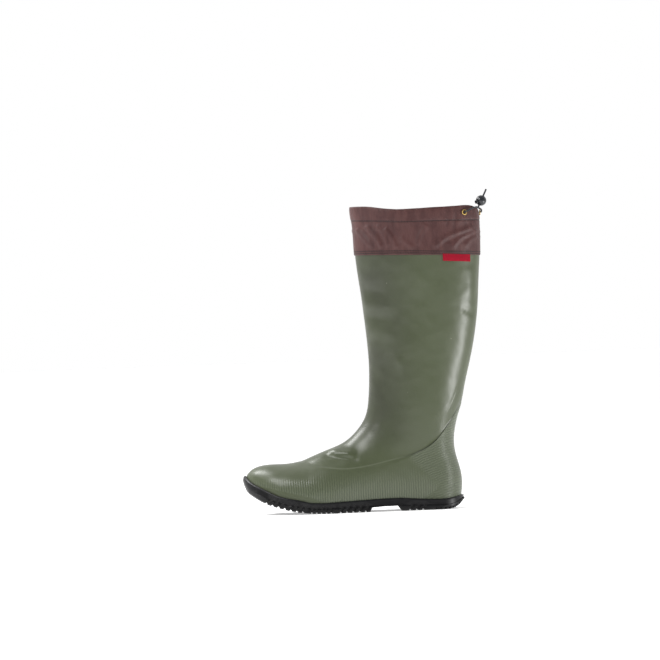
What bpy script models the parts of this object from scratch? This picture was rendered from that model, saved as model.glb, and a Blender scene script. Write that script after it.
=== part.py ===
"""Foldable rain boot for the left foot, in metres.

The toe points to -X, the outer side to -Y and the shaft stands along +Z. The origin is on the
floor under the heel. The upper is one skin: rings run from the sole's rim round toe and heel up
to the collar, and each ring's half width comes from the last's plan, the shaft's depth and the
distance to the front and back outlines.
"""
import math

import bmesh
import bpy
import numpy as np
from mathutils import Matrix, Vector

# Outsole
OUTSOLE_LENGTH = 0.269
HEEL_OVERHANG = 0.042
BALL_WIDTH = 0.098
TREAD_WIDTH = 0.080
WAIST_WIDTH = 0.067
HEEL_WIDTH = 0.068
TOE_WIDTH = 0.090
TOE_CURVE_LENGTH = 0.064
TOE_SPRING = 0.039
SIDE_HEIGHT = 0.0155
RIM_WALL = 0.0024
RIM_DEPTH = 0.006
ARCH_RISE = 0.0065
HEEL_ROLL_LENGTH = 0.025
HEEL_ROLL_HEIGHT = 0.0115
LUG_FLARE = 0.0009
TOE_ROLL = 0.0012
GROOVE_DEPTH = 0.0015
SLOT_DEPTH = 0.0026
SLOT_RISE = 0.66
SLOT_EASE = 0.0004
NOTCH_DEPTH = 0.0026
NOTCH_REACH = 0.0045
NOTCH_WIDTH = 0.0022
NOTCH_PITCH = 0.0056
NOTCH_START = 0.002

# Upper
WALL = 0.0015
OVERLAY = 0.0008
ANKLE_RISE = 0.106
SHAFT_RISE = 0.250
SHAFT_DEPTH = 0.078
ANKLE_DEPTH = 0.071
HEEL_ROUND = 0.033
INSTEP_ROUND = 0.060
SIDE_BULGE = 0.045
COLLAR_LAP = 0.010
TOE_FULLNESS = 2.15
SECTION_FULLNESS = 2.1

# Insole, cuff and trim
INSOLE_THICKNESS = 0.0025
INSOLE_MARGIN = 0.0005
CUFF_WALL = 0.0009
TUNNEL_SWELL = 0.0010
TAG_LENGTH = 0.033
TAG_DROP = 0.0075
TAG_THICKNESS = 0.0008
TAG_START = 0.026
EYELET_RADIUS = 0.0029
EYELET_BEAD = 0.0009
CORD_RADIUS = 0.00105
CORD_TAIL = 0.0088
LOCK_RADIUS = 0.0065
LOCK_BEHIND = 0.0058
LOCK_ABOVE = 0.0092
LOCK_OUT = 0.0080
LOCK_LEAN = 26.0
CORD_SPREAD = 0.0015
PLUNGER_RADIUS = 0.0021
PLUNGER_LENGTH = 0.0040
PLUNGER_REACH = 0.0084
EYELET_DROP = 0.0050
EYELET_SPREAD = 0.0174
GAP = 0.0003

# Where the shaft's front stands, and the share of its chord that rounds off to the back
SHAFT_FRONT = 0.43
BACK_PART = 0.48

HALF_RING = 26
RING = 2 * HALF_RING
FOOT_BANDS = 8
LEG_BANDS = 14

# The sole's side view, from the heel (0) to the toe (1): spring is a share of TOE_SPRING and
# side is the rim's height above it as a share of SIDE_HEIGHT
SOLE_LINE = (
    # along, spring, side
    (0.000, 0.000, 1.12),
    (0.040, 0.000, 0.97),
    (0.093, 0.000, 0.83),
    (0.171, 0.000, 0.87),
    (0.309, 0.000, 1.03),
    (0.424, 0.000, 0.98),
    (0.561, 0.000, 0.89),
    (0.636, 0.003, 0.84),
    (0.684, 0.020, 0.82),
    (0.729, 0.045, 0.97),
    (0.773, 0.095, 0.99),
    (0.825, 0.195, 0.93),
    (0.879, 0.305, 1.12),
    (0.922, 0.450, 1.13),
    (0.955, 0.590, 1.11),
    (0.981, 0.735, 1.24),
    (1.000, 1.000, 0.75),
)

# The outsole's plan, from the heel to the toe: its width, and its middle as a share of
# BALL_WIDTH towards the inner side
PLAN = (
    # along, width, middle
    (0.000, HEEL_WIDTH, 0.000),
    (0.170, HEEL_WIDTH, 0.000),
    (0.400, WAIST_WIDTH, -0.035),
    (0.520, TREAD_WIDTH, -0.025),
    (0.680, BALL_WIDTH, 0.000),
    (0.800, 0.985 * BALL_WIDTH, 0.025),
    (0.900, 0.955 * BALL_WIDTH, 0.062),
    (1.000, TOE_WIDTH, 0.095),
)

# The front outline from the toe over the vamp and instep: along is a share of OUTSOLE_LENGTH
# from the heel, rise a share of ANKLE_RISE above the rim
FRONT_FOOT = (
    # along, rise
    (0.983, 0.000),
    (0.979, 0.030),
    (0.970, 0.072),
    (0.963, 0.114),
    (0.952, 0.156),
    (0.937, 0.196),
    (0.911, 0.247),
    (0.881, 0.293),
    (0.829, 0.359),
    (0.773, 0.397),
    (0.736, 0.436),
)
FRONT_INSTEP = (
    (0.691, 0.512),
    (0.636, 0.587),
    (0.584, 0.617),
    (0.524, 0.672),
    (0.498, 0.730),
    (0.471, 0.795),
    (0.450, 0.855),
    (0.434, 0.912),
    (0.425, 0.969),
    (0.423, 1.000),
)

# The shaft's outlines: rise is a share of SHAFT_RISE above the ankle, along as before
FRONT_SHAFT = (
    # along, rise
    (0.419, 0.027),
    (0.416, 0.079),
    (0.410, 0.163),
    (0.409, 0.240),
    (0.414, 0.339),
    (0.426, 0.479),
    (0.436, 0.591),
    (0.451, 0.707),
    (0.455, 0.763),
)
FRONT_CUFF = (
    (0.457, 0.839),
    (0.459, 0.903),
    (0.463, 0.947),
    (0.468, 1.000),
)
BACK_HEEL = (
    # along, rise as a share of ANKLE_RISE
    (0.013, 0.000),
    (0.011, 0.040),
    (0.006, 0.104),
    (0.005, 0.165),
    (0.007, 0.230),
    (0.017, 0.337),
    (0.032, 0.467),
    (0.040, 0.580),
    (0.040, 0.660),
    (0.037, 0.725),
    (0.023, 0.868),
    (0.005, 1.009),
)
BACK_SHAFT = (
    # along, rise as a share of SHAFT_RISE
    (-0.002, 0.028),
    (-0.0195, 0.119),
    (-0.0425, 0.215),
    (-0.0685, 0.335),
    (-0.0880, 0.467),
    (-0.100, 0.599),
    (-0.108, 0.700),
    (-0.111, 0.733),
)
BACK_CUFF = (
    (-0.112, 0.795),
    (-0.113, 0.875),
    (-0.107, 0.939),
    (-0.104, 0.971),
)

# The thick foot piece's upper edge, between the vamp and the back of the ankle
FOOT_PIECE_EDGE = (
    # along, rise as a share of ANKLE_RISE above the rim
    (0.647, 0.408),
    (0.565, 0.376),
    (0.483, 0.369),
    (0.379, 0.384),
    (0.279, 0.441),
    (0.216, 0.510),
    (0.166, 0.586),
    (0.123, 0.665),
    (0.084, 0.779),
    (0.046, 0.895),
)

# The cuff's top edge, a little lower towards the back
CUFF_TOP = (
    # along, rise as a share of SHAFT_RISE
    (0.390, 0.997),
    (0.300, 0.981),
    (0.240, 0.977),
    (0.170, 0.979),
    (0.000, 0.984),
    (-0.075, 0.985),
)

# Grooves across the sole: the first groove's middle and the pitch as shares of OUTSOLE_LENGTH,
# the number of grooves, their width, and their lean from upright in degrees. Where a groove opens
# on the sides, a slot goes on up for SLOT_RISE of the side's height, wider by SLOT_EASE
GROOVES = (
    # along, pitch, count, width, lean
    (0.8970, 0.0275, 7, 0.0026, 32.0),
    (0.6915, 0.0220, 5, 0.0019, 5.0),
    (0.5613, 0.0283, 5, 0.0026, 24.0),
    (0.2476, 0.0296, 3, 0.0026, 22.0),
)

# Where the toe's round rim is whole, along the sole
TOE_ROUND_FROM = 0.935

# The underside's arch, from the heel's breast to the tread
ARCH = (
    # along, rise as a share of ARCH_RISE
    (0.2840, 0.000),
    (0.3030, 1.000),
    (0.3640, 0.960),
    (0.4180, 0.830),
    (0.4275, 0.000),
)

# The drawcord's routes from each eyelet to the lock, as steps from the eyelet's middle
OUTER_ROUTE = ((0.0016, -0.0012, 0.0006), (0.0095, 0.0045, 0.0046), (0.0150, 0.0127, 0.0061))
BACK_ROUTE = ((0.0017, -0.0006, 0.0008), (0.0019, -0.0028, 0.0030))


def place(share):
    """The X of a share of the sole's length, measured from the heel."""
    return HEEL_OVERHANG - np.asarray(share) * OUTSOLE_LENGTH


def share_at(x):
    """The share of the sole's length that an X lies at."""
    return (HEEL_OVERHANG - np.asarray(x)) / OUTSOLE_LENGTH


def read_rows(rows, column, at):
    """A column of a table, read between its rows by a cubic that never overshoots."""
    keys = np.array([row[0] for row in rows])
    values = np.array([row[column] for row in rows])
    step = np.diff(keys)
    rise = np.diff(values) / step
    slope = np.zeros(len(keys))
    slope[0], slope[-1] = rise[0], rise[-1]
    for i in range(1, len(keys) - 1):
        if rise[i - 1] * rise[i] > 0:
            first, second = 2 * step[i] + step[i - 1], step[i] + 2 * step[i - 1]
            slope[i] = (first + second) / (first / rise[i - 1] + second / rise[i])
    at = np.clip(np.asarray(at, float), keys[0], keys[-1])
    i = np.clip(np.searchsorted(keys, at, side="right") - 1, 0, len(step) - 1)
    t = (at - keys[i]) / step[i]
    return (
        values[i] * (1 + 2 * t) * (1 - t) ** 2
        + slope[i] * step[i] * t * (1 - t) ** 2
        + values[i + 1] * t * t * (3 - 2 * t)
        + slope[i + 1] * step[i] * t * t * (t - 1)
    )


def ease(value, low, high):
    """0 below low, 1 above high and smooth between."""
    t = np.clip((np.asarray(value, float) - low) / (high - low), 0, 1)
    return t * t * (3 - 2 * t)


def round_end(t, power):
    """The rise from an edge (t = 0) to full size (t = 1) of a rounded end; 2 is a circle."""
    return (1 - (1 - np.clip(t, 0, 1)) ** power) ** (1 / power)


def rim_height(x):
    """The height of the sole's rim, where rubber and sole meet."""
    share = share_at(x)
    return TOE_SPRING * read_rows(SOLE_LINE, 1, share) + SIDE_HEIGHT * read_rows(SOLE_LINE, 2, share)


def underside(x):
    """The height of the sole's underside, before its arch and grooves are cut."""
    spring = TOE_SPRING * read_rows(SOLE_LINE, 1, share_at(x))
    roll_start = HEEL_OVERHANG - HEEL_ROLL_LENGTH
    roll = np.clip((np.asarray(x) - roll_start) / HEEL_ROLL_LENGTH, 0, 1) ** 3
    return spring + HEEL_ROLL_HEIGHT * roll


ANKLE_HEIGHT = float(rim_height(place(FRONT_INSTEP[-1][0]))) + ANKLE_RISE


def foot_points(rows):
    """Side-view points of rows that rise from the rim."""
    return [(float(place(a)), float(rim_height(place(a)) + r * ANKLE_RISE)) for a, r in rows]


def shaft_points(rows):
    """Side-view points of rows that rise from the ankle."""
    return [(float(place(a)), ANKLE_HEIGHT + r * SHAFT_RISE) for a, r in rows]


def curve_through(points, per_span=20):
    """A smooth dense curve through side-view points, and the place of each point on it."""
    points = np.array(points, float)
    chord = np.concatenate([[0], np.cumsum(np.linalg.norm(np.diff(points, axis=0), axis=1))])
    slope = np.gradient(points, chord, axis=0)
    dense = []
    for i in range(len(points) - 1):
        t = np.arange(per_span)[:, None] / per_span
        span = chord[i + 1] - chord[i]
        dense.append(
            points[i] * (1 + 2 * t) * (1 - t) ** 2
            + slope[i] * span * t * (1 - t) ** 2
            + points[i + 1] * t * t * (3 - 2 * t)
            + slope[i + 1] * span * t * t * (t - 1)
        )
    dense.append(points[-1:])
    return np.concatenate(dense), per_span * np.arange(len(points))


def along_curve(curve, shares):
    """Points at shares of a dense curve's length."""
    length = np.concatenate([[0], np.cumsum(np.linalg.norm(np.diff(curve, axis=0), axis=1))])
    at = np.asarray(shares) * length[-1]
    return np.stack([np.interp(at, length, curve[:, 0]), np.interp(at, length, curve[:, 1])], axis=-1)


# The outlines, each cut where the foot piece and the cuff end
front_rows = foot_points(FRONT_FOOT + FRONT_INSTEP) + shaft_points(FRONT_SHAFT + FRONT_CUFF)
FRONT_LINE, front_stops = curve_through(front_rows)
front_cuts = [
    0,
    front_stops[len(FRONT_FOOT) - 1],
    front_stops[len(FRONT_FOOT + FRONT_INSTEP + FRONT_SHAFT) - 1],
    front_stops[-1],
]
back_rows = foot_points(BACK_HEEL) + shaft_points(BACK_SHAFT + BACK_CUFF)
BACK_LINE, back_stops = curve_through(back_rows)
back_cuts = [
    0,
    back_stops[len(BACK_HEEL)],
    back_stops[len(BACK_HEEL + BACK_SHAFT) - 1],
    back_stops[-1],
]
rim_x = np.linspace(FRONT_LINE[0, 0], BACK_LINE[0, 0], 400)
edge_points = [FRONT_LINE[front_cuts[1]], *foot_points(FOOT_PIECE_EDGE), BACK_LINE[back_cuts[1]]]
LEVELS = [
    np.stack([rim_x, rim_height(rim_x)], axis=-1),
    curve_through(edge_points)[0],
    np.linspace(FRONT_LINE[front_cuts[2]], BACK_LINE[back_cuts[2]], 60),
    curve_through([FRONT_LINE[-1], *shaft_points(CUFF_TOP), BACK_LINE[-1]])[0],
]


def level_end(low, high, rise, end):
    """Where a straight line between the ends of two levels stands at a rise."""
    return (1 - rise) * low[end] + rise * high[end]


def side_view_row(zone, rise, shares):
    """Side-view points of one ring: zone 0 is the foot piece, 1 the leg and 2 the cuff's."""
    low = along_curve(LEVELS[zone], shares)
    high = along_curve(LEVELS[zone + 1], shares)
    front = along_curve(FRONT_LINE[front_cuts[zone]:front_cuts[zone + 1] + 1], [rise])[0]
    back = along_curve(BACK_LINE[back_cuts[zone]:back_cuts[zone + 1] + 1], [rise])[0]
    s = np.asarray(shares)[:, None]
    level = (1 - rise) * low + rise * high
    ends = (1 - s) * front + s * back
    corners = (1 - s) * level_end(low, high, rise, 0) + s * level_end(low, high, rise, -1)
    return level + ends - corners


def half_width(points):
    """Half the last's width at side-view points, before it rounds off to the outlines."""
    x, z = points[:, 0], points[:, 1]
    share = share_at(x)
    tip = share_at(FRONT_LINE[0, 0])
    toe_share = TOE_CURVE_LENGTH / OUTSOLE_LENGTH
    foot = read_rows(PLAN, 1, share) / 2 - RIM_WALL - GAP - OVERLAY
    foot = foot * round_end((tip - share) / toe_share, TOE_FULLNESS)
    bulge = np.clip((z - rim_height(x)) / (0.5 * ANKLE_RISE), 0, 1)
    foot = foot * (1 + SIDE_BULGE * 4 * bulge * (1 - bulge))
    shaft_top = ANKLE_HEIGHT + SHAFT_RISE
    shaft = (ANKLE_DEPTH + (SHAFT_DEPTH - ANKLE_DEPTH) * ease(z, ANKLE_HEIGHT, shaft_top)) / 2
    to_shaft = ease(z, 0.35 * ANKLE_HEIGHT, 1.05 * ANKLE_HEIGHT) * ease(-share, -0.72, -0.52)
    return foot + (shaft - foot) * to_shaft


def ends_factor(points):
    """How far the section has rounded off towards the front and back outlines."""
    x, z = points[:, 0], points[:, 1]
    away = np.linalg.norm(points[:, None, :] - FRONT_LINE[None, :, :], axis=2).min(axis=1)
    vamp = FRONT_LINE[: front_stops[len(FRONT_FOOT + FRONT_INSTEP) - 2]]
    crown = np.interp(x, vamp[:, 0], vamp[:, 1])
    rim = rim_height(x)
    below_crown = np.clip((crown - z) / np.maximum(crown - rim, 1e-5), 0, 1)
    chord = np.interp(z, BACK_LINE[:, 1], BACK_LINE[:, 0]) - place(SHAFT_FRONT)
    up = ease(z, ANKLE_HEIGHT, ANKLE_HEIGHT + 0.4 * SHAFT_RISE)
    front_round = INSTEP_ROUND + ((1 - BACK_PART) * chord - INSTEP_ROUND) * up
    leg_share = ease(-share_at(x), -0.80, -0.58)
    front = below_crown + (away / front_round - below_crown) * leg_share
    above_heel = ease(z, 0.5 * ANKLE_HEIGHT, 1.6 * ANKLE_HEIGHT)
    back_round = HEEL_ROUND + (BACK_PART * chord - HEEL_ROUND) * above_heel
    behind = np.interp(z, BACK_LINE[:, 1], BACK_LINE[:, 0]) - x
    return round_end(front, SECTION_FULLNESS) * round_end(behind / back_round, SECTION_FULLNESS)


def middle(points):
    """The Y of the last's middle line, which swings inwards at the toe."""
    swing = BALL_WIDTH * read_rows(PLAN, 2, share_at(points[:, 0]))
    return swing * (1 - ease(points[:, 1], 0.35 * ANKLE_HEIGHT, 0.9 * ANKLE_HEIGHT))


RING_SHARES = (1 - np.cos(np.pi * np.arange(HALF_RING + 1) / HALF_RING)) / 2


def ring_at(zone, rise, drop=0.0):
    """One closed ring on the skin, from the toe along the outer side to the heel and back."""
    points = side_view_row(zone, rise, RING_SHARES)
    reach = half_width(points) * ends_factor(points)
    reach[0] = reach[-1] = 0.0
    centre = middle(points)
    outer = np.stack([points[:, 0], centre - reach, points[:, 1] - drop], axis=-1)
    inner = np.stack([points[:, 0], centre + reach, points[:, 1] - drop], axis=-1)
    return np.concatenate([outer, inner[-2:0:-1]])


def skin_normals(rings):
    """Outward normals of a stack of rings."""
    around = np.roll(rings, -1, axis=1) - np.roll(rings, 1, axis=1)
    upward = np.gradient(rings, axis=0)
    normals = np.cross(around, upward)
    return normals / np.linalg.norm(normals, axis=2, keepdims=True)


def plan_normals(ring):
    """Outward normals of a ring, seen from above."""
    around = np.roll(ring, -1, axis=0) - np.roll(ring, 1, axis=0)
    normals = np.stack([around[:, 1], -around[:, 0], np.zeros(len(ring))], axis=-1)
    return normals / np.linalg.norm(normals, axis=1, keepdims=True)


def new_object(name, mesh_or_curve, material, collection):
    """An object for a finished mesh or curve."""
    thing = bpy.data.objects.new(name, mesh_or_curve)
    collection.objects.link(thing)
    if material:
        thing.data.materials.append(material)
    return thing


def finish(name, work, material, collection, sharp=35.0):
    """An object from a finished bmesh, smooth but for its hard edges."""
    mesh = bpy.data.meshes.new(name)
    work.to_mesh(mesh)
    work.free()
    mesh.shade_smooth()
    mesh.set_sharp_from_angle(angle=math.radians(sharp))
    return new_object(name, mesh, material, collection)


def loft(rings, close=False):
    """A bmesh of rings joined in order; close joins the last ring to the first."""
    work = bmesh.new()
    rows = [[work.verts.new(point) for point in ring] for ring in rings]
    pairs = list(zip(rows, rows[1:]))
    if close:
        pairs.append((rows[-1], rows[0]))
    for low, high in pairs:
        for i in range(len(low)):
            j = (i + 1) % len(low)
            work.faces.new((low[i], low[j], high[j], high[i]))
    return work, rows


def span_across(work, row, faces_up):
    """Fill a ring with strips from its outer side to its inner side."""
    count = len(row)
    for i in range(count // 2):
        corners = [row[i], row[i + 1], row[(count - i - 1) % count], row[(count - i) % count]]
        corners = list(dict.fromkeys(corners))
        work.faces.new(corners if faces_up else corners[::-1])


def plain_material(name, colour, roughness, metallic=0.0):
    """A Principled material in one colour."""
    material = bpy.data.materials.new(name)
    material.use_nodes = True
    shader = material.node_tree.nodes["Principled BSDF"]
    shader.inputs["Base Color"].default_value = (*colour, 1.0)
    shader.inputs["Roughness"].default_value = roughness
    shader.inputs["Metallic"].default_value = metallic
    return material


def make_upper(rings, normals, material, collection):
    """The hollow rubber boot, with the thick foot piece as a step in its wall."""
    foot_rows = FOOT_BANDS + 2
    thick = np.where(np.arange(len(rings)) < foot_rows, OVERLAY, 0.0)[:, None, None]
    outside = rings + normals * thick
    inside = rings - normals * WALL
    work, _ = loft(list(outside) + list(inside[::-1]), close=True)
    finish("upper", work, material, collection)
    return outside, inside


def make_insole(inside, material, collection):
    """The footbed, lying on the sole inside the upper's wall."""
    edge = inside[1] - plan_normals(inside[1]) * INSOLE_MARGIN
    bed = rim_height(edge[:, 0]) - RIM_DEPTH + GAP
    low, high = edge.copy(), edge.copy()
    low[:, 2] = bed
    high[:, 2] = bed + INSOLE_THICKNESS
    work, rows = loft([low, high])
    span_across(work, rows[0], faces_up=False)
    span_across(work, rows[1], faces_up=True)
    finish("insole", work, material, collection)


def sole_ring(edge, normal, outset, height_share, lower=0.0):
    """A ring round the sole: outset from the upper, at a share of the side's height."""
    ring = edge + normal * outset
    bottom, rim = underside(ring[:, 0]), edge[:, 2]
    ring[:, 2] = bottom + (rim - bottom) * height_share - lower
    return ring


def cutter_box(work, centre, size, lean=0.0, heading=0.0):
    """Add a box that cuts a groove or notch, leant towards the heel and then turned in plan."""
    corners = bmesh.ops.create_cube(work, size=1.0)["verts"]
    bmesh.ops.scale(work, vec=size, verts=corners)
    turn = Matrix.Rotation(heading, 3, "Z") @ Matrix.Rotation(lean, 3, "Y")
    bmesh.ops.rotate(work, cent=(0, 0, 0), matrix=turn, verts=corners)
    bmesh.ops.translate(work, vec=centre, verts=corners)


def as_cutter(name, work, collection):
    """A cutter object, which only shows as wire."""
    cutter = finish(name, work, None, collection)
    cutter.hide_render = True
    cutter.display_type = "WIRE"
    return cutter


def make_grooves(side, collection):
    """The cutters for the grooves that cross the sole, each with a slot up both of its sides."""
    outer, inner = side[: HALF_RING + 1], side[HALF_RING:][::-1]
    work = bmesh.new()
    for along, pitch, count, width, lean in GROOVES:
        for i in range(count):
            x = float(place(along - i * pitch))
            bottom = float(underside(x))
            slope = math.atan2(float(underside(x + GROOVE_DEPTH)) - bottom, GROOVE_DEPTH)
            tilt = math.radians(lean) - slope
            depth = 2 * GROOVE_DEPTH / math.cos(math.radians(lean))
            cutter_box(work, (x, 0, bottom), (width, 2 * BALL_WIDTH, depth), tilt)
            height = SLOT_RISE * (float(rim_height(x)) - bottom) / math.cos(math.radians(lean))
            for flank in (outer, inner):
                y, ahead = np.interp([x, x + width], flank[:, 0], flank[:, 1])
                size = (width + SLOT_EASE, 2 * SLOT_DEPTH, 2 * height)
                cutter_box(work, (x, y, bottom), size, tilt, math.atan2(ahead - y, width))
    return as_cutter("groove_cutters", work, collection)


def make_notches(side, collection):
    """The cutters for the short notches round the heel's lower edge."""
    start = np.argmax(side[: HALF_RING + 1, 0] > NOTCH_START)
    path = side[start:RING - start + 1]
    length = np.concatenate([[0], np.cumsum(np.linalg.norm(np.diff(path[:, :2], axis=0), axis=1))])
    count = int(length[-1] / NOTCH_PITCH)
    work = bmesh.new()
    for i in range(count + 1):
        at = (i + 0.5) * length[-1] / (count + 1)
        x, y = (np.interp(at, length, path[:, k]) for k in (0, 1))
        ahead = [np.interp(at + NOTCH_WIDTH, length, path[:, k]) for k in (0, 1)]
        heading = math.atan2(-(ahead[0] - x), ahead[1] - y)
        size = (2 * NOTCH_REACH, NOTCH_WIDTH, 2 * NOTCH_DEPTH)
        cutter_box(work, (x, y, float(underside(x))), size, heading=heading)
    return as_cutter("notch_cutters", work, collection)


def make_arch(collection):
    """The cutter that hollows the underside between the heel and the tread."""
    work = bmesh.new()
    line = [(float(place(a)), float(underside(place(a))) + r * ARCH_RISE) for a, r in ARCH]
    line = [(line[0][0], -ARCH_RISE), *line, (line[-1][0], -ARCH_RISE)]
    corners = [work.verts.new((x, -BALL_WIDTH, z)) for x, z in line]
    face = work.faces.new(corners)
    grown = bmesh.ops.extrude_face_region(work, geom=[face])["geom"]
    far = [item for item in grown if isinstance(item, bmesh.types.BMVert)]
    bmesh.ops.translate(work, vec=(0, 2 * BALL_WIDTH, 0), verts=far)
    bmesh.ops.recalc_face_normals(work, faces=work.faces)
    return as_cutter("arch_cutter", work, collection)


def cut(thing, cutter, crossing=False):
    """Take a cutter away from an object; crossing says that the cutter's own bodies overlap."""
    boolean = thing.modifiers.new(cutter.name, "BOOLEAN")
    boolean.operation = "DIFFERENCE"
    boolean.solver = "EXACT"
    boolean.object = cutter
    boolean.use_self = crossing


def make_outsole(outside, material, collection, cutters):
    """The rubber cup sole with its rim, stepped side, arch, grooves and heel notches."""
    edge = outside[1]
    normal = plan_normals(edge)
    rim = RIM_WALL + GAP
    # Ahead of the grooves the step in the side turns into a round toe
    toe = ease(share_at(edge[:, 0]), GROOVES[0][0], TOE_ROUND_FROM)[:, None]
    rings = [
        sole_ring(edge, normal, rim - 2 * LUG_FLARE - TOE_ROLL * toe, 0.0),
        sole_ring(edge, normal, rim + LUG_FLARE * (1 - toe), 0.10),
        sole_ring(edge, normal, rim + LUG_FLARE, 0.42),
        sole_ring(edge, normal, rim + LUG_FLARE * (1.5 * toe - 0.5), 0.47),
        sole_ring(edge, normal, rim, 0.90),
        sole_ring(edge, normal, rim - LUG_FLARE - TOE_ROLL * toe, 1.0),
        sole_ring(edge, normal, GAP, 1.0, RIM_DEPTH / 5),
        sole_ring(edge, normal, GAP, 1.0, RIM_DEPTH),
    ]
    work, rows = loft(rings)
    span_across(work, rows[0], faces_up=False)
    span_across(work, rows[-1], faces_up=True)
    sole = finish("outsole", work, material, collection)
    cut(sole, make_arch(cutters))
    cut(sole, make_grooves(rings[1], cutters), crossing=True)
    cut(sole, make_notches(rings[1], cutters))


def make_cuff(material, collection):
    """The woven sleeve over the collar, with the drawcord's tunnel at its top."""
    rises = (0.0, 0.25, 0.5, 0.67, 0.74, 0.86, 0.95, 1.0)
    swells = (0.0, 0.0, 0.0, 0.0, 0.8, 1.0, 0.7, 0.0)
    rings = np.array([ring_at(2, rise) for rise in rises])
    normals = skin_normals(rings)
    swell = np.array(swells)[:, None, None] * TUNNEL_SWELL
    outside = rings + normals * (GAP + CUFF_WALL + swell)
    inside = rings + normals * GAP
    work, _ = loft(list(outside) + list(inside[::-1]), close=True)
    finish("cuff", work, material, collection)


def outer_side(x, z):
    """The skin's Y on the outer side at side-view positions."""
    points = np.stack([np.asarray(x, float).ravel(), np.asarray(z, float).ravel()], axis=-1)
    return middle(points) - half_width(points) * ends_factor(points)


def outer_point(x, z, lift):
    """A point over the outer side, lifted off the skin, and the skin's normal there."""
    step = 0.0005
    y, ahead, above = (float(v) for v in outer_side([x, x + step, x], [z, z, z + step]))
    normal = Vector(((ahead - y) / step, -1.0, (above - y) / step)).normalized()
    return Vector((x, y, z)) + normal * lift, normal


def make_eyelet(name, point, normal, material, collection):
    """A brass eyelet with a rolled edge, lying on the cuff."""
    bpy.ops.mesh.primitive_torus_add(
        major_radius=EYELET_RADIUS, minor_radius=EYELET_BEAD, major_segments=16, minor_segments=5
    )
    eyelet = bpy.context.object
    eyelet.name = eyelet.data.name = name
    eyelet.location = point
    eyelet.rotation_mode = "QUATERNION"
    eyelet.rotation_quaternion = normal.to_track_quat("Z", "Y")
    eyelet.data.materials.append(material)
    eyelet.data.shade_smooth()
    for held_in in list(eyelet.users_collection):
        held_in.objects.unlink(eyelet)
    collection.objects.link(eyelet)


def smooth_route(points, spacing):
    """Points on a smooth curve through a route, one for each step of the given spacing."""
    points = np.array([tuple(p) for p in points])
    chord = np.concatenate([[0], np.cumsum(np.linalg.norm(np.diff(points, axis=0), axis=1))])
    slope = np.gradient(points, chord, axis=0)
    at = np.linspace(0, chord[-1], int(chord[-1] / spacing) + 1)
    i = np.clip(np.searchsorted(chord, at, side="right") - 1, 0, len(points) - 2)
    span = (chord[i + 1] - chord[i])[:, None]
    t = (at[:, None] - chord[i][:, None]) / span
    return (
        points[i] * (1 + 2 * t) * (1 - t) ** 2
        + slope[i] * span * t * (1 - t) ** 2
        + points[i + 1] * t * t * (3 - 2 * t)
        + slope[i + 1] * span * t * t * (t - 1)
    )


def make_cord(name, points, material, collection):
    """A round cord with sealed ends."""
    curve = bpy.data.curves.new(name, "CURVE")
    curve.dimensions = "3D"
    curve.bevel_depth = CORD_RADIUS
    curve.bevel_resolution = 1
    curve.use_fill_caps = True
    route = smooth_route(points, 2.4 * CORD_RADIUS)
    spline = curve.splines.new("POLY")
    spline.points.add(len(route) - 1)
    for point, position in zip(spline.points, route):
        point.co = (*position, 1.0)
    new_object(name, curve, material, collection)


def rod(name, radius, start, end, sides, collection):
    """A straight rod between two points."""
    axis = end - start
    bpy.ops.mesh.primitive_cylinder_add(radius=radius, depth=axis.length, vertices=sides)
    thing = bpy.context.object
    thing.name = thing.data.name = name
    thing.location = (start + end) / 2
    thing.rotation_mode = "QUATERNION"
    thing.rotation_quaternion = axis.to_track_quat("Z", "Y")
    for held_in in list(thing.users_collection):
        held_in.objects.unlink(thing)
    collection.objects.link(thing)
    return thing


def make_lock(centre, along, plunger_way, material, collection, cutters):
    """The ball cord lock, bored for two cords and for its spring plunger."""
    bpy.ops.mesh.primitive_uv_sphere_add(radius=LOCK_RADIUS, segments=18, ring_count=10)
    ball = bpy.context.object
    ball.name = ball.data.name = "cord_lock"
    ball.location = centre
    ball.data.materials.append(material)
    for held_in in list(ball.users_collection):
        held_in.objects.unlink(ball)
    collection.objects.link(ball)
    for side in (-1, 1):
        shift = Vector((0, side * CORD_SPREAD, 0))
        reach = along * (LOCK_RADIUS + CORD_RADIUS)
        bore = rod("cord_bore_%d" % (side + 2), CORD_RADIUS + GAP, centre + shift - reach,
                   centre + shift + reach, 12, cutters)
        bore.hide_render = True
        bore.display_type = "WIRE"
        cut(ball, bore)
    foot = centre + plunger_way * (PLUNGER_REACH - PLUNGER_LENGTH)
    socket = rod("plunger_socket", PLUNGER_RADIUS + GAP, foot - plunger_way * GAP,
                 foot + plunger_way * 2 * PLUNGER_LENGTH, 16, cutters)
    socket.hide_render = True
    socket.display_type = "WIRE"
    cut(ball, socket)
    plunger = rod("cord_lock_plunger", PLUNGER_RADIUS, foot, foot + plunger_way * PLUNGER_LENGTH,
                  16, collection)
    plunger.data.materials.append(material)
    ball.data.shade_smooth()
    ball.data.set_sharp_from_angle(angle=math.radians(35))


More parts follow.
